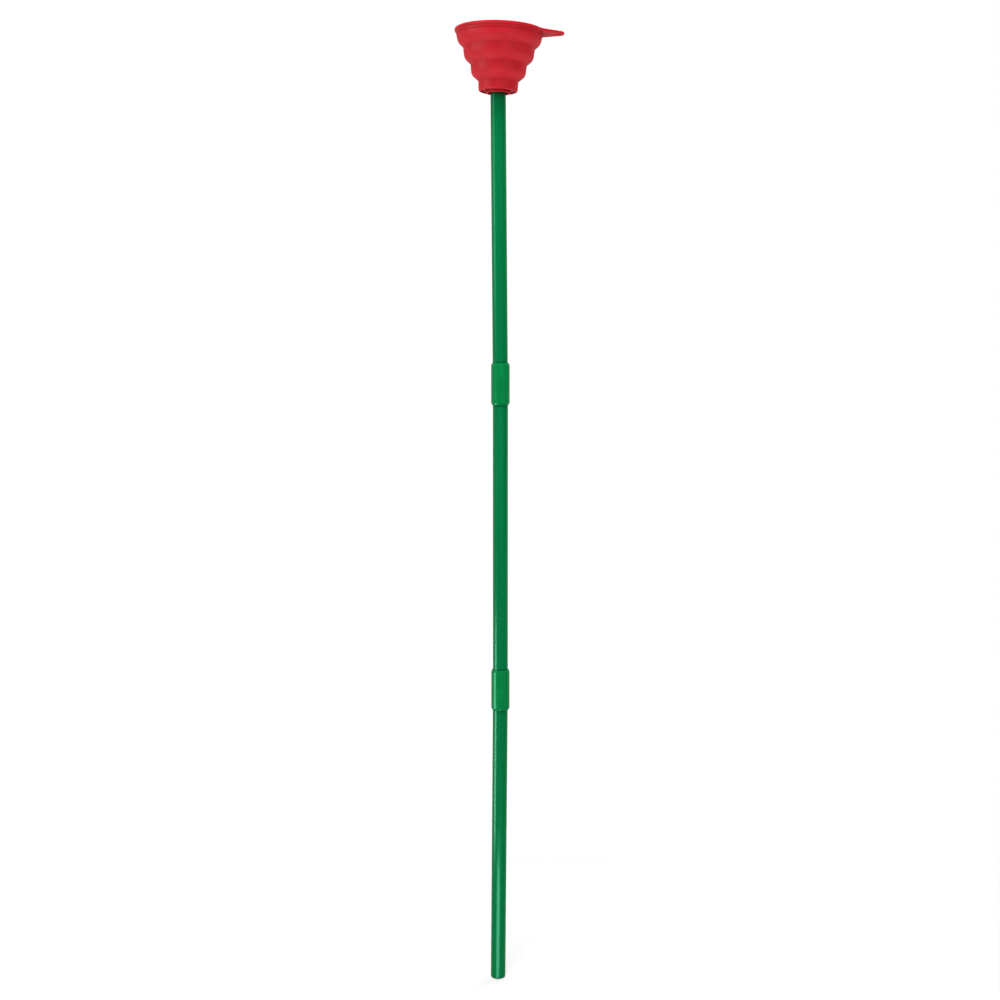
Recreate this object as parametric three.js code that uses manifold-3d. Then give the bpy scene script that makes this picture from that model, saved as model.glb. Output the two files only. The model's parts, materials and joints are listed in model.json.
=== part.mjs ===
// A long-reach watering funnel. A collapsible silicone funnel with a hanging tab plugs into a plastic
// tube, and the tube is three lengths joined by two sleeve couplings. Millimetres, +Z up, origin on the
// tube's axis at its lower end, hanging tab along +X.
import * as THREE from 'three';
import { mergeVertices } from 'three/addons/utils/BufferGeometryUtils.js';
import Module from 'manifold-3d';

const wasm = await Module();
wasm.setup();

// Colours and surfaces
const TUBE_PLASTIC = { color: 0x037942, roughness: 0.3, metalness: 0 };
const COUPLING_PLASTIC = { color: 0x048644, roughness: 0.45, metalness: 0 };
const RED_SILICONE = { color: 0xc72a36, roughness: 0.6, metalness: 0 };

// How finely round shapes are divided
const TUBE_SIDES = 24;
const FUNNEL_SIDES = 48;
const ARC_DIVISIONS = 2;
const TAB_CURVE_DIVISIONS = 6;

// Tubes
const TUBE_RADIUS = 7.5;
const TUBE_BORE = 6.15;
const TUBE_LENGTH = 304.8;
const LOWER_TUBE_LENGTH = 299.2;
const END_CHAMFER = 0.4;
const NOSE_RADIUS = 2.0;
const NOSE_OPENING = 4.0;

// Couplings
const COUPLING_RADIUS = 9.15;
const COUPLING_LENGTH = 41.6;
const STOP_HEIGHT = 3.1; // the inner rib that the two tubes stop against
const TAPER_DEPTH = 1.0; // a coupling tapers at both ends, this much towards the tube
const TAPER_LENGTH = 2.2; // and this much along it
const SLIP_FIT = 0.1; // radial clearance round a tube in its socket
const SEAT_GAP = 0.2; // gap between a pushed-in piece and what it stops against

// Funnel, from the rim down
const TIER_RADII = [41.6, 34.4, 27.0, 19.2];
const RIM_TOP = 951.6;
const LIP_RADIUS = 43.6;
const LIP_HEIGHT = 2.8;
const LIP_ROUNDING = 1.0;
const FIRST_STEP = 934.6; // height of the inner corner below the rim tier
const TIER_PITCH = 16;
const WEB_DROP = 9.2;
const WEB_SLANT = THREE.MathUtils.degToRad(50); // from the vertical, where a web meets the next tier
const WALL = 2;
const WEB_THICKNESS = 1.1;
const THINNING_HEIGHT = 1.2; // over which a wall thins down to the web below it
const SEAM = 0.1; // gap between a web and the tiers it joins

// Bottom of the funnel
const FUNNEL_BOTTOM = 892.8;
const FLOOR_TOP = 896.3;
const BASE_CORNER = 1.8;
const FLOOR_CORNER = 1.5;
const FLOOR_FALL = 0.8; // how far the floor drops towards the spout
const COLLAR_RADIUS = 11.9;
const COLLAR_BORE = 10.0;
const COLLAR_BOTTOM = 890.4;
const COLLAR_CORNER = 0.4;
const RECESS_TOP = 894.0;
const SPOUT_RADIUS = 6.05;
const SPOUT_BORE = 4.8;
const SPOUT_BOTTOM = 855.0;
const SPOUT_TAPER = 0.25;

// Hanging tab
const TAB_TIP = 63.2;
const TAB_TIP_RADIUS = 6.4;
const TAB_ROOT_REACH = 47.0; // where the straight edges begin, outside the lip
const TAB_ROOT_HALF_WIDTH = 11.6;
const TAB_FILLET_ANGLE = THREE.MathUtils.degToRad(28);
const TAB_BEVEL = 0.5;
const HANG_HOLE_RADIUS = 3;
const HANG_HOLE_REACH = 56.8;

// Heights that follow from the sizes above
const SOCKET_DEPTH = (COUPLING_LENGTH - STOP_HEIGHT) / 2;
const LOWER_COUPLING_BOTTOM = LOWER_TUBE_LENGTH - SOCKET_DEPTH;
const MIDDLE_TUBE_BOTTOM = LOWER_TUBE_LENGTH + STOP_HEIGHT;
const MIDDLE_TUBE_TOP = MIDDLE_TUBE_BOTTOM + TUBE_LENGTH;
const UPPER_COUPLING_BOTTOM = MIDDLE_TUBE_TOP - SOCKET_DEPTH;
const UPPER_TUBE_BOTTOM = MIDDLE_TUBE_TOP + STOP_HEIGHT;

const RIGHT_ANGLE = Math.PI / 2;

// Height of the inner corner under tier `index`, where the tier below starts.
function stepHeight(index) {
  return FIRST_STEP - index * TIER_PITCH;
}

// A closed outline of (radius, height), drawn up the outside and down the inside, turned about Z.
function turned(outline, sides) {
  outline.closePath();
  const geometry = new THREE.LatheGeometry(outline.getPoints(ARC_DIVISIONS), sides);
  return geometry.rotateX(RIGHT_ANGLE);
}

function part(name, geometry, surface) {
  const mesh = new THREE.Mesh(geometry, new THREE.MeshStandardMaterial(surface));
  mesh.name = name;
  return mesh;
}

function toSolid(geometry) {
  const bare = geometry.clone();
  bare.deleteAttribute('normal');
  bare.deleteAttribute('uv');
  const merged = mergeVertices(bare);
  const vertProperties = new Float32Array(merged.attributes.position.array);
  const triVerts = new Uint32Array(merged.index.array);
  return new wasm.Manifold(new wasm.Mesh({ numProp: 3, vertProperties, triVerts }));
}

function toGeometry(solid) {
  const mesh = solid.getMesh();
  const geometry = new THREE.BufferGeometry();
  geometry.setAttribute('position', new THREE.BufferAttribute(mesh.vertProperties, 3));
  geometry.setIndex(new THREE.BufferAttribute(mesh.triVerts, 1));
  geometry.computeVertexNormals();
  return geometry;
}

// The lowest length of tube: a rounded nose with a narrower mouth, and a plain chamfered top end.
function lowerTube() {
  const noseFlat = TUBE_RADIUS - NOSE_RADIUS;
  const top = LOWER_TUBE_LENGTH - SEAT_GAP;
  const wall = TUBE_RADIUS - TUBE_BORE;
  const outline = new THREE.Path();
  outline.moveTo(NOSE_OPENING, 0);
  outline.lineTo(noseFlat, 0);
  outline.absarc(noseFlat, NOSE_RADIUS, NOSE_RADIUS, -RIGHT_ANGLE, 0);
  outline.lineTo(TUBE_RADIUS, top - END_CHAMFER);
  outline.lineTo(TUBE_RADIUS - END_CHAMFER, top);
  outline.lineTo(TUBE_BORE, top);
  outline.absarc(noseFlat, NOSE_RADIUS, NOSE_RADIUS - wall, 0, -RIGHT_ANGLE, true);
  outline.lineTo(NOSE_OPENING, wall);
  return part('lower_tube', turned(outline, TUBE_SIDES), TUBE_PLASTIC);
}

// A plain length of tube with chamfered ends.
function plainTube(name, bottom, top) {
  const outline = new THREE.Path();
  outline.moveTo(TUBE_BORE, bottom);
  outline.lineTo(TUBE_RADIUS - END_CHAMFER, bottom);
  outline.lineTo(TUBE_RADIUS, bottom + END_CHAMFER);
  outline.lineTo(TUBE_RADIUS, top - END_CHAMFER);
  outline.lineTo(TUBE_RADIUS - END_CHAMFER, top);
  outline.lineTo(TUBE_BORE, top);
  return part(name, turned(outline, TUBE_SIDES), TUBE_PLASTIC);
}

// A sleeve with a socket at each end, a stop rib between them and tapered ends.
function coupling(name, bottom) {
  const top = bottom + COUPLING_LENGTH;
  const bore = TUBE_RADIUS + SLIP_FIT;
  const ribBottom = bottom + SOCKET_DEPTH;
  const ribTop = ribBottom + STOP_HEIGHT;
  const outline = new THREE.Path();
  outline.moveTo(bore, bottom);
  outline.lineTo(COUPLING_RADIUS - TAPER_DEPTH, bottom);
  outline.lineTo(COUPLING_RADIUS, bottom + TAPER_LENGTH);
  outline.lineTo(COUPLING_RADIUS, top - TAPER_LENGTH);
  outline.lineTo(COUPLING_RADIUS - TAPER_DEPTH, top);
  outline.lineTo(bore, top);
  outline.lineTo(bore, ribTop);
  outline.lineTo(TUBE_BORE, ribTop);
  outline.lineTo(TUBE_BORE, ribBottom);
  outline.lineTo(bore, ribBottom);
  return part(name, turned(outline, TUBE_SIDES), COUPLING_PLASTIC);
}

// Draws a tier's wall from the outside corner above the web below it to a flat top at `top`.
function tierOutline(index, top) {
  const outer = TIER_RADII[index];
  const bottom = stepHeight(index) + WEB_DROP + SEAM;
  const outline = new THREE.Path();
  outline.moveTo(outer - WALL, bottom + THINNING_HEIGHT);
  outline.lineTo(outer - WEB_THICKNESS, bottom);
  outline.lineTo(outer, bottom);
  outline.lineTo(outer, top);
  return outline;
}

function plainTier(name, index) {
  const top = stepHeight(index - 1) - SEAM;
  const outline = tierOutline(index, top);
  outline.lineTo(TIER_RADII[index] - WALL, top);
  return part(name, turned(outline, FUNNEL_SIDES), RED_SILICONE);
}

// The flexible band between tier `index` and the next one. Its outside leaves the tier above along the
// wall, curves inwards and ends in a straight slant on the next tier's top corner.
function foldWeb(name, index) {
  const outer = TIER_RADII[index];
  const inner = TIER_RADII[index + 1];
  const bottom = stepHeight(index);
  const top = bottom + WEB_DROP;
  const run = outer - inner;
  const sine = Math.sin(WEB_SLANT);
  const cosine = Math.cos(WEB_SLANT);
  const curve = (WEB_DROP * sine - run * cosine) / (1 - cosine);
  const centre = outer - curve;
  const endWidth = WEB_THICKNESS / cosine;
  const outline = new THREE.Path();
  outline.moveTo(inner - endWidth, bottom + SEAM);
  outline.lineTo(inner, bottom + SEAM);
  outline.absarc(centre, top, curve, -WEB_SLANT, 0);
  outline.lineTo(outer, top);
  outline.lineTo(outer - WEB_THICKNESS, top);
  outline.absarc(centre, top, curve - WEB_THICKNESS, 0, -WEB_SLANT, true);
  return part(name, turned(outline, FUNNEL_SIDES), RED_SILICONE);
}

// The lowest tier with its floor, the collar that shrouds the tube and the spout that plugs into it.
// The underside is hollow between the wall and the collar.
function baseTier() {
  const outer = TIER_RADII[3];
  const inner = outer - WALL;
  const top = stepHeight(2) - SEAM;
  const spoutTip = SPOUT_RADIUS - SPOUT_TAPER;
  const outline = new THREE.Path();
  outline.moveTo(SPOUT_BORE, SPOUT_BOTTOM);
  outline.lineTo(spoutTip, SPOUT_BOTTOM);
  outline.lineTo(SPOUT_RADIUS, RECESS_TOP);
  outline.lineTo(COLLAR_BORE, RECESS_TOP);
  outline.lineTo(COLLAR_BORE, COLLAR_BOTTOM + COLLAR_CORNER);
  outline.lineTo(COLLAR_BORE + COLLAR_CORNER, COLLAR_BOTTOM);
  outline.lineTo(COLLAR_RADIUS - COLLAR_CORNER, COLLAR_BOTTOM);
  outline.lineTo(COLLAR_RADIUS, COLLAR_BOTTOM + COLLAR_CORNER);
  outline.lineTo(COLLAR_RADIUS, RECESS_TOP);
  outline.lineTo(inner, RECESS_TOP);
  outline.lineTo(inner, FUNNEL_BOTTOM);
  outline.absarc(outer - BASE_CORNER, FUNNEL_BOTTOM + BASE_CORNER, BASE_CORNER, -RIGHT_ANGLE, 0);
  outline.lineTo(outer, top);
  outline.lineTo(inner, top);
  outline.absarc(inner - FLOOR_CORNER, FLOOR_TOP + FLOOR_CORNER, FLOOR_CORNER, 0, -RIGHT_ANGLE, true);
  outline.lineTo(SPOUT_BORE, FLOOR_TOP - FLOOR_FALL);
  return part('funnel_base_tier', turned(outline, FUNNEL_SIDES), RED_SILICONE);
}

// A tongue in the plane of the lip: it leaves the rim in two fillets, tapers, and ends in a round tip.
function tabPlate() {
  const root = LIP_RADIUS - WALL;
  const tipCentre = TAB_TIP - TAB_TIP_RADIUS;
  const taper = Math.atan2(TAB_ROOT_HALF_WIDTH - TAB_TIP_RADIUS, tipCentre - TAB_ROOT_REACH);
  const rootX = root * Math.cos(TAB_FILLET_ANGLE);
  const rootY = root * Math.sin(TAB_FILLET_ANGLE);
  const filletX = LIP_RADIUS;
  const filletY = TAB_ROOT_HALF_WIDTH + (TAB_ROOT_REACH - filletX) * Math.tan(taper);
  const shape = new THREE.Shape();
  shape.moveTo(rootX, -rootY);
  shape.quadraticCurveTo(filletX, -filletY, TAB_ROOT_REACH, -TAB_ROOT_HALF_WIDTH);
  shape.absarc(tipCentre, 0, TAB_TIP_RADIUS, taper - RIGHT_ANGLE, RIGHT_ANGLE - taper);
  shape.lineTo(TAB_ROOT_REACH, TAB_ROOT_HALF_WIDTH);
  shape.quadraticCurveTo(filletX, filletY, rootX, rootY);
  shape.absarc(0, 0, root, TAB_FILLET_ANGLE, -TAB_FILLET_ANGLE, true);
  const hole = new THREE.Path();
  hole.absarc(HANG_HOLE_REACH, 0, HANG_HOLE_RADIUS, 0, 2 * Math.PI, true);
  shape.holes.push(hole);
  const plate = new THREE.ExtrudeGeometry(shape, {
    depth: LIP_HEIGHT - 2 * TAB_BEVEL,
    curveSegments: TAB_CURVE_DIVISIONS,
    bevelThickness: TAB_BEVEL,
    bevelSize: TAB_BEVEL,
    bevelOffset: -TAB_BEVEL,
    bevelSegments: 1,
  });
  return plate.translate(0, 0, RIM_TOP - LIP_HEIGHT + TAB_BEVEL);
}

// The widest tier with the rounded lip round its mouth and the hanging tab.
function rimTier() {
  const lipBottom = RIM_TOP - LIP_HEIGHT;
  const outer = TIER_RADII[0];
  const inner = outer - WALL;
  const lipEdge = LIP_RADIUS - LIP_ROUNDING;
  const outline = tierOutline(0, lipBottom);
  outline.absarc(lipEdge, lipBottom + LIP_ROUNDING, LIP_ROUNDING, -RIGHT_ANGLE, 0);
  outline.absarc(lipEdge, RIM_TOP - LIP_ROUNDING, LIP_ROUNDING, 0, RIGHT_ANGLE);
  outline.lineTo(inner + LIP_ROUNDING / 2, RIM_TOP);
  outline.lineTo(inner, RIM_TOP - LIP_ROUNDING / 2);
  const ring = toSolid(turned(outline, FUNNEL_SIDES));
  const solid = ring.add(toSolid(tabPlate()));
  return part('funnel_rim_tier', toGeometry(solid), RED_SILICONE);
}

function funnel() {
  const group = new THREE.Group();
  group.add(rimTier());
  group.add(foldWeb('fold_web_1', 0));
  group.add(plainTier('funnel_tier_2', 1));
  group.add(foldWeb('fold_web_2', 1));
  group.add(plainTier('funnel_tier_3', 2));
  group.add(foldWeb('fold_web_3', 2));
  group.add(baseTier());
  return group;
}

function tubeRun() {
  const group = new THREE.Group();
  group.add(lowerTube());
  group.add(coupling('lower_coupling', LOWER_COUPLING_BOTTOM));
  group.add(plainTube('middle_tube', MIDDLE_TUBE_BOTTOM + SEAT_GAP, MIDDLE_TUBE_TOP - SEAT_GAP));
  group.add(coupling('upper_coupling', UPPER_COUPLING_BOTTOM));
  group.add(plainTube('upper_tube', UPPER_TUBE_BOTTOM + SEAT_GAP, RECESS_TOP - SEAT_GAP));
  return group;
}

const wateringFunnel = new THREE.Group();
wateringFunnel.add(tubeRun());
wateringFunnel.add(funnel());

export default wateringFunnel;
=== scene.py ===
"""A collapsible silicone watering funnel on a green tube in three lengths, built round its CAD frame.

Units are metres, in the frame's own axes: +Z up the tube, +X towards the funnel's hanging tab.
"""

import json
import math

import bmesh
import bpy
from mathutils import Matrix, Vector

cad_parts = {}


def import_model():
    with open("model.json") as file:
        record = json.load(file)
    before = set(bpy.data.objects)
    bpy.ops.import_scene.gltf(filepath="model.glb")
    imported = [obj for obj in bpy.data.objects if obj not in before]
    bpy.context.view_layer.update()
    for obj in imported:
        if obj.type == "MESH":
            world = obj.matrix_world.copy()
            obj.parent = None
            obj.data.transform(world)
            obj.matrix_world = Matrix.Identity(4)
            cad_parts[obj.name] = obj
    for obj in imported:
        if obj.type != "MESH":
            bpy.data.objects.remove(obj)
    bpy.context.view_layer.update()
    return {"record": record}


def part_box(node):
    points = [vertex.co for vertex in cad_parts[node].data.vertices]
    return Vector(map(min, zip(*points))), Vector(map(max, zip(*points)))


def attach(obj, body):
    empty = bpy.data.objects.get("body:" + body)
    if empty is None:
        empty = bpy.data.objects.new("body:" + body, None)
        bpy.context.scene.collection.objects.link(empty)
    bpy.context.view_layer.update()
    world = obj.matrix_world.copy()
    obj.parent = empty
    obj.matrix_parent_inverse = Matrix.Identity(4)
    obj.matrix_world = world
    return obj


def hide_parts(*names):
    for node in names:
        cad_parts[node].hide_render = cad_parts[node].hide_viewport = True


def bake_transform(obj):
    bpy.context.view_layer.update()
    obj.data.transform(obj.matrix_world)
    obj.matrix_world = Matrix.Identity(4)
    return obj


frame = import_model()

# How finely round shapes are divided
ARC_STEP = math.radians(7)
TUBE_SIDES = 96
FUNNEL_SIDES = 192
SHARP_ANGLE = math.radians(38)
MERGE_DISTANCE = 1e-6

# Tubes and couplings
TUBE_WALL = 0.00135
NOSE_ROUNDING = 0.0020
NOSE_MOUTH = 0.0040
CUT_END_ROUNDING = 0.0003
STOP_HEIGHT = 0.0031
SLIP_FIT = 0.0001
COUPLING_ROUNDING = 0.0010
COUPLING_TAPER_HEIGHT = 0.0022
COUPLING_TAPER_DEPTH = 0.0010
SOCKET_ROUNDING = 0.0001
PARTING_RIDGE = 0.00006

# Funnel walls
WALL = 0.0020
WEB_THICKNESS = 0.0011
TOP_FLARE = 0.020  # share by which a tier is wider at its top than its CAD cylinder
BOTTOM_TAPER = 0.007  # share by which it is narrower at its bottom
WEB_RISE = math.radians(40)  # slope of a web's lower part, above the horizontal
CURVE_SHARE = 0.97  # how much of the way up to the wall a web's curve takes
STEP_ROUNDING = 0.0009
SEAM_BELOW_STEP = 0.0016
THINNING_HEIGHT = 0.0018

# Lip and hanging tab
LIP_HEIGHT = 0.0028
LIP_ROUNDING = 0.0010
MOUTH_ROUNDING = 0.0008
LIP_FILLET = 0.0004
TAB_TIP_RADIUS = 0.0064
TAB_TAPER = math.radians(28)  # of each straight edge to the tab's centre line
TAB_FILLET = 0.014
TAB_CURVE_POINTS = 13
TAB_STRAIGHT_POINTS = 7
HANG_HOLE_RADIUS = 0.0030
HANG_HOLE_FROM_TIP = 0.0064
HANG_HOLE_ROUNDING = 0.0005

# Bottom of the funnel
BASE_ROUNDING = 0.0016
BASE_BELOW_TUBE_END = 0.0010
FLOOR_THICKNESS = 0.0035
FLOOR_FALL = 0.0008
FLOOR_ROUNDING = 0.0025
COLLAR_RADIUS = 0.0119
COLLAR_BORE = 0.0100
COLLAR_DROP = 0.0018
COLLAR_ROUNDING = 0.0005
RECESS_CLEARANCE = 0.0004
SPOUT_RADIUS = 0.00605
SPOUT_TIP_RADIUS = 0.00580
SPOUT_BORE = 0.0048

# How the pushed-together pieces lean
TUBE_LEAN = math.radians(0.45)  # of the two end tubes, each with its outer end away from the tab
FUNNEL_LEAN = math.radians(1.75)  # of the soft funnel back towards the tab, from its tube's line
LEAN_SHARPNESS = 6  # how late up the spout the funnel's lean sets in

# Surfaces
OPEN_SURFACE = 0.97  # share of open surroundings from which a colour isn't shaded at all
GREEN_GLINT = (0.25, 1.0, 0.7, 1.0)  # the tint of the green plastics' reflections

# Stage
CAMERA_AIM = Vector((-0.0004, 0, 0.493))
CAMERA_DISTANCE = 1.475
CAMERA_TILT = math.radians(5.2)
LENS = 53.1
SENSOR = 36.0
WHITE = (1.0, 1.0, 1.0, 1.0)
FLOOR_WHITE = (0.97, 0.97, 0.97, 1.0)
FLOOR_REACH = 0.8
FLOOR_DROP = 0.0005
FLOOR_OPACITY = 0.4
FLOOR_FADE = (0.2, 0.95)  # shares of its reach where the floor begins and stops to fade


# --- outlines ---------------------------------------------------------------------------------------

def corner_arc(corner, before, after, rounding):
    """Points of the arc that rounds a corner. before and after point along the corner's two sides."""
    half = before.angle(after) / 2
    centre = corner + (before + after).normalized() * rounding / math.sin(half)
    start = corner + before * rounding / math.tan(half) - centre
    end = corner + after * rounding / math.tan(half) - centre
    first = math.atan2(start.y, start.x)
    turn = (math.atan2(end.y, end.x) - first + math.pi) % math.tau - math.pi
    steps = max(2, math.ceil(abs(turn) / ARC_STEP))
    angles = [first + turn * step / steps for step in range(steps + 1)]
    return [centre + rounding * Vector((math.cos(angle), math.sin(angle))) for angle in angles]


def rounded(corners):
    """An outline through (radius, height, rounding) corners, each rounded off by an arc."""
    outline = []
    for index, (radius, height, rounding) in enumerate(corners):
        corner = Vector((radius, height))
        if rounding == 0:
            outline.append(corner)
            continue
        before = Vector(corners[index - 1][:2]) - corner
        after = Vector(corners[(index + 1) % len(corners)][:2]) - corner
        outline += corner_arc(corner, before.normalized(), after.normalized(), rounding)
    return outline


def upright(along, spot):
    """The 3-D place of an outline's (radius, height) spot, in the upright plane along a direction."""
    return Vector((along.x * spot.x, along.y * spot.x, spot.y))


def spaced(first, last, count):
    return [first + (last - first) * step / (count - 1) for step in range(count)]


def meet(point, direction, other_point, other_direction):
    """Where two lines of the outline's plane cross."""
    gap = other_point - point
    along = (gap.x * other_direction.y - gap.y * other_direction.x) / (
        direction.x * other_direction.y - direction.y * other_direction.x
    )
    return point + direction * along


# --- meshes -----------------------------------------------------------------------------------------

def ring_mesh(name, columns):
    """A closed ring of columns, each an outline of 3-D points, up the outside and down the inside."""
    count = len(columns[0])
    vertices = [point for column in columns for point in column]
    faces = []
    for column in range(len(columns)):
        here = column * count
        there = (column + 1) % len(columns) * count
        for point in range(count):
            after = (point + 1) % count
            faces.append((here + point, there + point, there + after, here + after))
    mesh = bpy.data.meshes.new(name)
    mesh.from_pydata(vertices, [], faces)
    piece = bpy.data.objects.new(name, mesh)
    bpy.context.collection.objects.link(piece)
    return piece


def turned(name, outline, sides):
    """An outline of (radius, height) turned about Z."""
    columns = []
    for side in range(sides):
        angle = math.tau * side / sides
        along = Vector((math.cos(angle), math.sin(angle)))
        columns.append([upright(along, spot) for spot in outline])
    return ring_mesh(name, columns)


def raise_parting_lines(piece, least_radius):
    """Lifts the moulding lines down the +X and -X sides, where the surface is beyond least_radius."""
    for vertex in piece.data.vertices:
        if abs(vertex.co.y) < PARTING_RIDGE and abs(vertex.co.x) > least_radius:
            vertex.co.x += math.copysign(PARTING_RIDGE, vertex.co.x)


def smooth(piece):
    mesh = piece.data
    mesh.polygons.foreach_set("use_smooth", [True] * len(mesh.polygons))
    mesh.set_sharp_from_angle(angle=SHARP_ANGLE)
    weighted = piece.modifiers.new("even_normals", "WEIGHTED_NORMAL")
    weighted.keep_sharp = True


def lean_with_tubes(piece):
    """Leans whatever is beyond the middle tube the way the loose push fits let the end tubes lean."""
    upper_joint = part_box("middle_tube")[1].z
    lower_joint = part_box("lower_tube")[1].z
    for vertex in piece.data.vertices:
        beyond = max(0.0, vertex.co.z - upper_joint, lower_joint - vertex.co.z)
        vertex.co.x -= beyond * math.tan(TUBE_LEAN)


def settle(piece):
    """Leans a funnel piece the way the soft funnel sits in the tube. The spout follows the tube."""
    pivot_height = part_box("upper_tube")[1].z
    spout_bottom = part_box("funnel_base_tier")[0].z
    for vertex in piece.data.vertices:
        height = vertex.co.z
        share = min(1.0, max(0.0, (height - spout_bottom) / (pivot_height - spout_bottom)))
        pivot = Vector((0, 0, min(height, pivot_height)))
        lean = Matrix.Rotation(FUNNEL_LEAN * share ** LEAN_SHARPNESS, 3, "Y")
        vertex.co = pivot + lean @ (vertex.co - pivot)
    lean_with_tubes(piece)


def dress(piece, node, material):
    """Gives a piece its shading and material, and hides its CAD node in its favour."""
    smooth(piece)
    piece.data.materials.append(material)
    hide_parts(node)


def place(piece, node, material):
    dress(piece, node, material)
    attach(piece, body_of[node])


record = frame["record"]
body_of = {
    node: body
    for body, nodes in record["behaviour"]["bodies"].items()
    for node in nodes
}


# --- materials --------------------------------------------------------------------------------------

def add_node(tree, kind, inputs, **settings):
    """Adds a node. Each of its inputs is fed by another node's output or set to a plain value."""
    node = tree.nodes.new(kind)
    for name, value in settings.items():
        setattr(node, name, value)
    for name, value in inputs.items():
        feed(tree, node.inputs[name], value)
    return node


def feed(tree, socket, value):
    if isinstance(value, bpy.types.NodeSocket):
        tree.links.new(value, socket)
    else:
        socket.default_value = value


def spread(tree, value, low, high, new_low, new_high):
    """The value's stretch from low to high, spread over new_low to new_high."""
    inputs = {"Value": value, "From Min": low, "From Max": high, "To Min": new_low, "To Max": new_high}
    return add_node(tree, "ShaderNodeMapRange", inputs).outputs["Result"]


class Shader:
    """A node material with one principled shader, built up by a few short calls."""

    def __init__(self, name):
        self.material = bpy.data.materials.new(name)
        self.material.use_nodes = True
        self.tree = self.material.node_tree
        self.principled = self.tree.nodes["Principled BSDF"]
        self.place = self.add("ShaderNodeTexCoord", {}).outputs["Object"]

    def add(self, kind, inputs, **settings):
        return add_node(self.tree, kind, inputs, **settings)

    def set(self, **inputs):
        for name, value in inputs.items():
            feed(self.tree, self.principled.inputs[name.replace("_", " ")], value)

    def noise(self, scale, detail=3.0, stretch=(1, 1, 1)):
        """Noise between 0 and 1 with features about 1 / scale metres wide."""
        moved = self.add("ShaderNodeMapping", {"Vector": self.place, "Scale": stretch})
        inputs = {"Vector": moved.outputs["Vector"], "Scale": scale, "Detail": detail}
        return self.add("ShaderNodeTexNoise", inputs).outputs["Fac"]

    def spread(self, value, low, high, new_low=0.0, new_high=1.0):
        return spread(self.tree, value, low, high, new_low, new_high)

    def mix(self, share, first, second, blend="MIX"):
        inputs = {"Factor": share}
        node = self.add("ShaderNodeMix", inputs, data_type="RGBA", blend_type=blend)
        colours = [socket for socket in node.inputs if socket.type == "RGBA"]
        feed(self.tree, colours[0], first)
        feed(self.tree, colours[1], second)
        return next(socket for socket in node.outputs if socket.type == "RGBA")

    def shade_corners(self, colour, shaded, reach, deepest):
        """Paints shade into a colour in corners and gaps, fully where a share of `deepest` or less is
        open.
        """
        inputs = {"Distance": reach}
        open_share = self.add("ShaderNodeAmbientOcclusion", inputs, samples=8).outputs["AO"]
        return self.mix(self.spread(open_share, deepest, OPEN_SURFACE, 1.0, 0.0), colour, shaded)

    def bump(self, height, distance, under=None):
        inputs = {"Height": height, "Distance": distance}
        if under is not None:
            inputs["Normal"] = under
        return self.add("ShaderNodeBump", inputs).outputs["Normal"]


def rgb(red, green, blue):
    """A colour as a shader takes it, from its red, green and blue on a screen's scale of 0 to 255."""
    def linear(level):
        share = level / 255
        return share / 12.92 if share <= 0.04045 else ((share + 0.055) / 1.055) ** 2.4
    return (linear(red), linear(green), linear(blue), 1.0)


def red_silicone():
    """Satin silicone rubber: soft waves in its walls, a fine matt skin, a little light inside it, and
    painted shade in its corners.
    """
    shader = Shader("red_silicone")
    clouds = shader.noise(70, detail=2)
    waves = shader.noise(110, detail=1)
    skin = shader.noise(2600, detail=2)
    specks = shader.noise(5200, detail=1)
    colour = shader.mix(shader.spread(clouds, 0.3, 0.7), rgb(202, 12, 31), rgb(210, 22, 40))
    colour = shader.mix(shader.spread(specks, 0.70, 0.78, 0.0, 0.22), colour, rgb(226, 120, 124))
    # painted shade: darker red in the steps' inner corners and under the overhangs
    colour = shader.shade_corners(colour, rgb(160, 4, 18), 0.007, 0.5)
    roughness = shader.spread(clouds, 0.25, 0.75, 0.42, 0.56)
    normal = shader.bump(waves, 0.00035)
    normal = shader.bump(skin, 0.00003, under=normal)
    shader.set(Base_Color=colour, Roughness=roughness, Normal=normal, IOR=1.41)
    shader.set(Subsurface_Weight=0.12, Subsurface_Scale=0.0025, Subsurface_Radius=(1.0, 0.2, 0.15))
    return shader.material


def extruded_plastic():
    """Glossy extruded tube: faint die lines along its length, cloudy streaks, light rubbing, and
    painted shade next to couplings and collar.
    """
    shader = Shader("extruded_plastic")
    streaks = shader.noise(520, detail=3, stretch=(1, 1, 0.012))
    die_lines = shader.noise(2300, detail=2, stretch=(1, 1, 0.004))
    clouds = shader.noise(45, detail=3, stretch=(1, 1, 0.35))
    colour = shader.mix(shader.spread(streaks, 0.3, 0.7), rgb(2, 112, 59), rgb(4, 124, 68))
    # painted shade on the tube just beside the couplings' ends
    colour = shader.shade_corners(colour, rgb(1, 84, 38), 0.006, 0.65)
    # deeper painted shade in wider hollows, most of all where the tube runs up into the funnel's collar
    colour = shader.shade_corners(colour, rgb(0, 40, 12), 0.02, 0.35)
    roughness = shader.spread(clouds, 0.52, 0.75, 0.2, 0.27)
    normal = shader.bump(die_lines, 0.000006)
    normal = shader.bump(clouds, 0.00006, under=normal)
    shader.set(Base_Color=colour, Roughness=roughness, Normal=normal, IOR=1.49)
    shader.set(Specular_Tint=GREEN_GLINT)
    return shader.material


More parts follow.
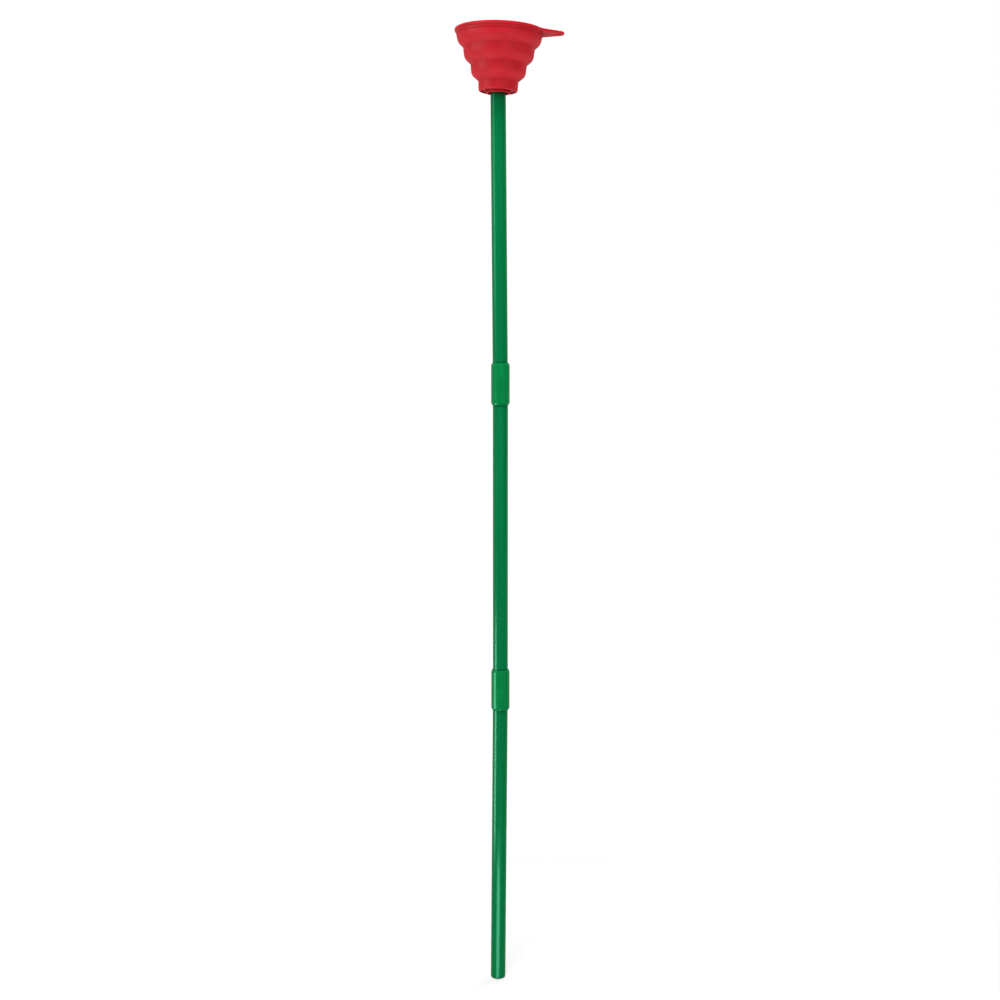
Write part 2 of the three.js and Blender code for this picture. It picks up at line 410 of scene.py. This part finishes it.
def moulded_plastic():
    """Satin moulded plastic of the couplings: a fine spark-eroded grain, slight flow marks and painted
    shade where tubes meet it.
    """
    shader = Shader("moulded_plastic")
    grain = shader.noise(3600, detail=3)
    flow = shader.noise(160, detail=2, stretch=(1, 1, 0.3))
    colour = shader.mix(shader.spread(flow, 0.3, 0.7), rgb(2, 124, 60), rgb(4, 134, 70))
    # painted shade where the coupling meets the tubes
    colour = shader.shade_corners(colour, rgb(0, 90, 40), 0.003, 0.5)
    roughness = shader.spread(flow, 0.3, 0.7, 0.2, 0.26)
    normal = shader.bump(flow, 0.00003)
    normal = shader.bump(grain, 0.000005, under=normal)
    shader.set(Base_Color=colour, Roughness=roughness, Normal=normal, IOR=1.49)
    shader.set(Specular_Tint=GREEN_GLINT)
    return shader.material


# --- tubes and couplings ----------------------------------------------------------------------------

def lower_tube(material):
    """A tube with a rounded nose that closes in to a narrower mouth."""
    low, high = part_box("lower_tube")
    radius = high.y
    bore = radius - TUBE_WALL
    outline = rounded([
        (NOSE_MOUTH, low.z, CUT_END_ROUNDING),
        (radius, low.z, NOSE_ROUNDING),
        (radius, high.z, CUT_END_ROUNDING),
        (bore, high.z, CUT_END_ROUNDING),
        (bore, low.z + TUBE_WALL, NOSE_ROUNDING - TUBE_WALL),
        (NOSE_MOUTH, low.z + TUBE_WALL, CUT_END_ROUNDING),
    ])
    piece = turned("lower_tube_skin", outline, TUBE_SIDES)
    lean_with_tubes(piece)
    place(piece, "lower_tube", material)


def plain_tube(node, material):
    low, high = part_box(node)
    radius = high.y
    bore = radius - TUBE_WALL
    outline = rounded([
        (bore, low.z, CUT_END_ROUNDING),
        (radius, low.z, CUT_END_ROUNDING),
        (radius, high.z, CUT_END_ROUNDING),
        (bore, high.z, CUT_END_ROUNDING),
    ])
    piece = turned(node + "_skin", outline, TUBE_SIDES)
    lean_with_tubes(piece)
    place(piece, node, material)


def coupling(node, material):
    """A sleeve with two sockets, a stop rib between them and tapered ends."""
    low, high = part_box(node)
    radius = high.y
    tube_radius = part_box("lower_tube")[1].y
    rib_bore = tube_radius - TUBE_WALL
    bore = tube_radius + SLIP_FIT
    end_radius = radius - COUPLING_TAPER_DEPTH
    rib_bottom = (low.z + high.z - STOP_HEIGHT) / 2
    rib_top = rib_bottom + STOP_HEIGHT
    outline = rounded([
        (bore, low.z, SOCKET_ROUNDING),
        (end_radius, low.z, CUT_END_ROUNDING),
        (radius, low.z + COUPLING_TAPER_HEIGHT, COUPLING_ROUNDING),
        (radius, high.z - COUPLING_TAPER_HEIGHT, COUPLING_ROUNDING),
        (end_radius, high.z, CUT_END_ROUNDING),
        (bore, high.z, SOCKET_ROUNDING),
        (bore, rib_top, CUT_END_ROUNDING),
        (rib_bore, rib_top, CUT_END_ROUNDING),
        (rib_bore, rib_bottom, CUT_END_ROUNDING),
        (bore, rib_bottom, CUT_END_ROUNDING),
    ])
    piece = turned(node + "_skin", outline, TUBE_SIDES)
    raise_parting_lines(piece, bore + SOCKET_ROUNDING)
    place(piece, node, material)


# --- funnel -----------------------------------------------------------------------------------------

TIERS = ["funnel_rim_tier", "funnel_tier_2", "funnel_tier_3", "funnel_base_tier"]
WEBS = ["fold_web_1", "fold_web_2", "fold_web_3"]


class Tier:
    """The wall of one tier: where it begins and ends, and how wide it is there, draft included."""

    def __init__(self, index):
        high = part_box(TIERS[index])[1]
        radius = high.y
        self.top = high.z
        self.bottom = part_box("upper_tube")[1].z - BASE_BELOW_TUBE_END
        if index > 0:
            self.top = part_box(WEBS[index - 1])[0].z
        if index < len(WEBS):
            web_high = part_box(WEBS[index])[1]
            radius = web_high.y
            self.bottom = web_high.z
        self.top_radius = radius * (1 + TOP_FLARE)
        self.bottom_radius = radius * (1 - BOTTOM_TAPER)

    def radius_at(self, height):
        share = (height - self.bottom) / (self.top - self.bottom)
        return self.bottom_radius + (self.top_radius - self.bottom_radius) * share

    def line(self, inset=0.0):
        """A point on the wall and its downward direction, for the outside or inset from it."""
        top = Vector((self.top_radius - inset, self.top))
        bottom = Vector((self.bottom_radius - inset, self.bottom))
        return top, (bottom - top).normalized()


def blend_by_radius(piece):
    """Lays each point of a web out along X at its distance from the axis, bakes in the piece's
    transform, then puts every point back.
    """
    shape = [vertex.co.copy() for vertex in piece.data.vertices]
    for vertex in piece.data.vertices:
        vertex.co = (vertex.co.xy.length, 0, 0)
    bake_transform(piece)
    for vertex, place_at_rest in zip(piece.data.vertices, shape):
        vertex.co = place_at_rest


def fold_web(index, material):
    """The thin band between two tiers: down the upper wall, round a curve and down a slant."""
    upper = Tier(index)
    lower = Tier(index + 1)
    step = Vector((lower.top_radius, lower.top))
    slant = Vector((-math.cos(WEB_RISE), -math.sin(WEB_RISE)))
    inward = Vector((slant.y, -slant.x)) * WEB_THICKNESS
    shoulder = meet(*upper.line(), step, slant)
    inner_shoulder = meet(*upper.line(WEB_THICKNESS), step + inward, slant)
    inner_step = meet(step + inward, slant, *lower.line(WALL))
    curve = (upper.bottom - shoulder.y) / math.tan((math.pi / 2 - WEB_RISE) / 2) * CURVE_SHARE
    bottom = lower.top - SEAM_BELOW_STEP
    outline = rounded([
        (lower.radius_at(bottom) - WALL, bottom, 0),
        (lower.radius_at(bottom), bottom, 0),
        (step.x, step.y, STEP_ROUNDING),
        (shoulder.x, shoulder.y, curve),
        (upper.bottom_radius, upper.bottom, 0),
        (upper.bottom_radius - WEB_THICKNESS, upper.bottom, 0),
        (inner_shoulder.x, inner_shoulder.y, curve - WEB_THICKNESS),
        (inner_step.x, inner_step.y, STEP_ROUNDING),
    ])
    node = WEBS[index]
    piece = turned(node + "_skin", outline, FUNNEL_SIDES)
    blend_by_radius(
        piece,
    )
    settle(piece)
    dress(piece, node, material)


def wall_foot(tier):
    """The corners where a wall thins down to its web, from the inside round to the outside."""
    thinning = tier.bottom + THINNING_HEIGHT
    return [
        (tier.radius_at(thinning) - WALL, thinning, THINNING_HEIGHT),
        (tier.bottom_radius - WEB_THICKNESS, tier.bottom, 0),
        (tier.bottom_radius, tier.bottom, 0),
    ]


def plain_tier(index, material):
    tier = Tier(index)
    top = tier.top - SEAM_BELOW_STEP
    outline = rounded(wall_foot(tier) + [
        (tier.radius_at(top), top, 0),
        (tier.radius_at(top) - WALL, top, 0),
    ])
    node = TIERS[index]
    piece = turned(node + "_skin", outline, FUNNEL_SIDES)
    settle(piece)
    place(piece, node, material)


def base_tier(material):
    """The lowest tier, hollow underneath, with its floor, the collar round the tube and the spout."""
    tier = Tier(3)
    wall_top = tier.top - SEAM_BELOW_STEP
    spout_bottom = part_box("funnel_base_tier")[0].z
    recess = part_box("upper_tube")[1].z + RECESS_CLEARANCE
    collar_bottom = tier.bottom - COLLAR_DROP
    floor_height = tier.bottom + FLOOR_THICKNESS
    outline = rounded([
        (SPOUT_BORE, spout_bottom, CUT_END_ROUNDING),
        (SPOUT_TIP_RADIUS, spout_bottom, CUT_END_ROUNDING),
        (SPOUT_RADIUS, recess, CUT_END_ROUNDING),
        (COLLAR_BORE, recess, CUT_END_ROUNDING),
        (COLLAR_BORE, collar_bottom, COLLAR_ROUNDING),
        (COLLAR_RADIUS, collar_bottom, COLLAR_ROUNDING),
        (COLLAR_RADIUS, recess, CUT_END_ROUNDING),
        (tier.bottom_radius - WALL, recess, CUT_END_ROUNDING),
        (tier.bottom_radius - WALL, tier.bottom, 0),
        (tier.bottom_radius, tier.bottom, BASE_ROUNDING),
        (tier.radius_at(wall_top), wall_top, 0),
        (tier.radius_at(wall_top) - WALL, wall_top, 0),
        (tier.bottom_radius - WALL, floor_height, FLOOR_ROUNDING),
        (SPOUT_BORE, floor_height - FLOOR_FALL, CUT_END_ROUNDING),
    ])
    piece = turned("funnel_base_tier_skin", outline, FUNNEL_SIDES)
    settle(piece)
    place(piece, "funnel_base_tier", material)


def tab_side(lip_radius, tip_reach):
    """One side of the tab's edge seen from above, as (point, outward normal) pairs.

    It leaves the lip round a fillet, runs along a straight and goes round to the tip.
    """
    tip_centre = Vector((tip_reach - TAB_TIP_RADIUS, 0))
    outwards = Vector((math.sin(TAB_TAPER), math.cos(TAB_TAPER)))
    back = Vector((-math.cos(TAB_TAPER), math.sin(TAB_TAPER)))
    tip_tangent = tip_centre + outwards * TAB_TIP_RADIUS
    beside_tip = tip_tangent + outwards * TAB_FILLET
    along = -beside_tip.dot(back)
    spare = beside_tip.length_squared - (lip_radius + TAB_FILLET) ** 2
    fillet_centre = beside_tip + back * (along - math.sqrt(along ** 2 - spare))
    side = []
    start = math.atan2(-fillet_centre.y, -fillet_centre.x)
    end = math.atan2(-outwards.y, -outwards.x)
    for angle in spaced(start, end, TAB_CURVE_POINTS):
        direction = Vector((math.cos(angle), math.sin(angle)))
        side.append((fillet_centre + TAB_FILLET * direction, -direction))
    fillet_end = side[-1][0]
    for share in spaced(0, 1, TAB_STRAIGHT_POINTS)[1:-1]:
        side.append((fillet_end.lerp(tip_tangent, share), outwards))
    for angle in spaced(math.atan2(outwards.y, outwards.x), 0, TAB_CURVE_POINTS):
        direction = Vector((math.cos(angle), math.sin(angle)))
        side.append((tip_centre + TAB_TIP_RADIUS * direction, direction))
    return side


def rim_edge(lip_radius, tip_reach):
    """The rim's whole edge seen from above, round from the tab's tip, in the same pairs."""
    side = tab_side(lip_radius, tip_reach)
    leave = math.atan2(side[0][0].y, side[0][0].x)
    lip = []
    for angle in spaced(leave, math.tau - leave, FUNNEL_SIDES)[1:-1]:
        direction = Vector((math.cos(angle), math.sin(angle)))
        lip.append((lip_radius * direction, direction))
    mirrored = [(Vector((point.x, -point.y)), Vector((normal.x, -normal.y))) for point, normal in side]
    return side[::-1] + lip + mirrored[:-1]


def rim_column(tier, point, normal):
    """The rim's closed section where its edge is at `point`. Only the edge follows the normal."""
    along = point.normalized()
    lip_bottom = tier.top - LIP_HEIGHT
    under_lip = tier.radius_at(lip_bottom)
    mouth = tier.top_radius - WALL
    foot = wall_foot(tier)
    wall = rounded(foot + [(under_lip, lip_bottom, LIP_FILLET), (2 * under_lip, lip_bottom, 0)])[:-1]
    edge = rounded([
        (under_lip, lip_bottom, 0),
        (0, lip_bottom, LIP_ROUNDING),
        (0, tier.top, LIP_ROUNDING),
        (under_lip, tier.top, 0),
    ])[1:-1]
    inside = rounded([
        (under_lip, tier.top, 0),
        (mouth, tier.top, MOUTH_ROUNDING),
        (foot[0][0], foot[0][1], 0),
    ])[1:-1]
    column = [upright(along, spot) for spot in wall]
    column += [(*(point - normal * spot.x), spot.y) for spot in edge]
    column += [upright(along, spot) for spot in inside]
    return column


def merge_on_axis(piece):
    """Joins the points that a turned outline leaves on its axis, so that the piece is solid there."""
    work = bmesh.new()
    work.from_mesh(piece.data)
    bmesh.ops.remove_doubles(work, verts=work.verts, dist=MERGE_DISTANCE)
    loose = [edge for edge in work.edges if not edge.link_faces]
    bmesh.ops.delete(work, geom=loose, context="EDGES")
    work.to_mesh(piece.data)
    work.free()


def drill_hang_hole(piece, reach, bottom, top):
    """Cuts the hanging hole, with rounded edges, through the tab."""
    mouth = HANG_HOLE_RADIUS + HANG_HOLE_ROUNDING
    cutter = turned("hang_hole_cutter", rounded([
        (0, bottom - HANG_HOLE_ROUNDING, 0),
        (mouth + HANG_HOLE_ROUNDING, bottom - HANG_HOLE_ROUNDING, 0),
        (HANG_HOLE_RADIUS, bottom + HANG_HOLE_ROUNDING, HANG_HOLE_ROUNDING),
        (HANG_HOLE_RADIUS, top - HANG_HOLE_ROUNDING, HANG_HOLE_ROUNDING),
        (mouth + HANG_HOLE_ROUNDING, top + HANG_HOLE_ROUNDING, 0),
        (0, top + HANG_HOLE_ROUNDING, 0),
    ]), TUBE_SIDES)
    merge_on_axis(cutter)
    cutter.location.x = reach
    cut = piece.modifiers.new("hang_hole", "BOOLEAN")
    cut.operation = "DIFFERENCE"
    cut.solver = "EXACT"
    cut.object = cutter
    bpy.context.view_layer.update()
    evaluated = piece.evaluated_get(bpy.context.evaluated_depsgraph_get())
    drilled = bpy.data.meshes.new_from_object(evaluated)
    piece.modifiers.clear()
    piece.data = drilled
    bpy.data.objects.remove(cutter)


def rim_tier(material):
    """The widest tier, the rounded lip round its mouth and the flat hanging tab on the lip."""
    tier = Tier(0)
    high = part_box("funnel_rim_tier")[1]
    columns = [rim_column(tier, point, normal) for point, normal in rim_edge(high.y, high.x)]
    piece = ring_mesh("funnel_rim_tier_skin", columns)
    drill_hang_hole(piece, high.x - HANG_HOLE_FROM_TIP, high.z - LIP_HEIGHT, high.z)
    settle(piece)
    place(piece, "funnel_rim_tier", material)


# --- stage ------------------------------------------------------------------------------------------

def camera():
    data = bpy.data.cameras.new("photo_camera")
    data.lens = LENS
    data.sensor_width = SENSOR
    holder = bpy.data.objects.new("photo_camera", data)
    towards_camera = Vector((0, -math.cos(CAMERA_TILT), math.sin(CAMERA_TILT)))
    holder.location = CAMERA_AIM + CAMERA_DISTANCE * towards_camera
    holder.rotation_euler = (math.pi / 2 - CAMERA_TILT, 0, 0)
    bpy.context.collection.objects.link(holder)
    bpy.context.scene.camera = holder


def panel(name, place, aim, width, height, brightness, glossy=True, diffuse=True):
    """A soft rectangular light. `brightness` is the radiance of its face, where a white wall has 1."""
    data = bpy.data.lights.new(name, "AREA")
    data.shape = "RECTANGLE"
    data.size = width
    data.size_y = height
    data.energy = brightness * math.pi * width * height
    holder = bpy.data.objects.new(name, data)
    holder.location = place
    holder.rotation_euler = (Vector(aim) - Vector(place)).to_track_quat("-Z", "Y").to_euler()
    holder.visible_camera = False
    holder.visible_glossy = glossy
    holder.visible_diffuse = diffuse
    bpy.context.collection.objects.link(holder)


def lights():
    """A strong light from above the front, fills all round, and strips that only show as highlights."""
    middle = (0, 0, 0.5)
    panel("key", (-0.15, -0.85, 2.85), (0, 0, 0.9), 0.5, 0.5, 52.0, glossy=False)
    panel("fill", (0.9, -2.0, 0.6), middle, 1.4, 1.4, 2.0, glossy=False)
    panel("left_fill", (-1.7, -0.9, 0.8), middle, 1.2, 1.2, 2.0, glossy=False)
    panel("back_key", (1.3, 1.5, 1.9), middle, 1.4, 1.4, 4.5, glossy=False)
    panel("back_fill", (-1.6, 1.3, 0.8), middle, 1.4, 1.4, 2.5, glossy=False)
    panel("side_strip", (-1.94, -0.48, 1.0), (0, 0, 1.0), 0.7, 0.5, 4.3, diffuse=False)
    panel("low_side_strip", (-0.43, -0.11, 0.145), (0, 0, 0.145), 0.2, 0.29, 7.5, diffuse=False)
    panel("low_front_panel", (-0.037, -0.25, -0.04), (0, 0, -0.04), 0.2, 0.16, 6.3, diffuse=False)


def world():
    """White to the camera, a glow from below for lighting, and a dark room in reflections."""
    surround = bpy.data.worlds.new("studio")
    bpy.context.scene.world = surround
    surround.use_nodes = True
    tree = surround.node_tree
    tree.nodes.clear()
    ray = add_node(tree, "ShaderNodeLightPath", {}).outputs
    direction = add_node(tree, "ShaderNodeTexCoord", {}).outputs["Generated"]
    along = add_node(tree, "ShaderNodeSeparateXYZ", {"Vector": direction}).outputs

    def choose(kind_of_ray, strength, otherwise):
        inputs = {"Factor": ray[kind_of_ray], "A": otherwise, "B": strength}
        return add_node(tree, "ShaderNodeMix", inputs).outputs["Result"]

    for_reflections = spread(tree, along["Y"], 0.15, 0.35, 0.02, 0.30)
    for_lighting = spread(tree, along["Z"], -0.4, 0.1, 0.95, 0.25)
    strength = choose("Is Diffuse Ray", for_lighting, for_reflections)
    strength = choose("Is Camera Ray", 1.0, strength)
    inputs = {"Color": WHITE, "Strength": strength}
    background = add_node(tree, "ShaderNodeBackground", inputs).outputs["Background"]
    add_node(tree, "ShaderNodeOutputWorld", {"Surface": background})


def floor():
    """A pale floor that fades into the white surround."""
    mesh = bpy.data.meshes.new("floor")
    rim = [
        (FLOOR_REACH * math.cos(angle), FLOOR_REACH * math.sin(angle), 0)
        for angle in spaced(0, math.tau, TUBE_SIDES + 1)[:-1]
    ]
    mesh.from_pydata(rim, [], [range(TUBE_SIDES)])
    sheet = bpy.data.objects.new("floor", mesh)
    bpy.context.collection.objects.link(sheet)
    sheet.location.z = -FLOOR_DROP
    shader = Shader("pale_floor")
    length = shader.add("ShaderNodeVectorMath", {"Vector": shader.place}, operation="LENGTH")
    start, end = (FLOOR_REACH * share for share in FLOOR_FADE)
    opacity = shader.spread(length.outputs["Value"], start, end, FLOOR_OPACITY, 0.0)
    shader.set(Base_Color=FLOOR_WHITE, Roughness=0.8, Specular_IOR_Level=0.0, Alpha=opacity)
    mesh.materials.append(shader.material)
    sheet.visible_glossy = False
    sheet.visible_shadow = False


def build():
    silicone = red_silicone()
    tube_plastic = extruded_plastic()
    coupling_plastic = moulded_plastic()
    lower_tube(tube_plastic)
    plain_tube("middle_tube", tube_plastic)
    plain_tube("upper_tube", tube_plastic)
    for node in ("lower_coupling", "upper_coupling"):
        coupling(node, coupling_plastic)
    for index in range(3):
        fold_web(index, silicone)
    for index in (1, 2):
        plain_tier(index, silicone)
    base_tier(silicone)
    rim_tier(silicone)


build()
camera()
lights()
world()
floor()
bpy.context.scene.view_settings.view_transform = "Standard"
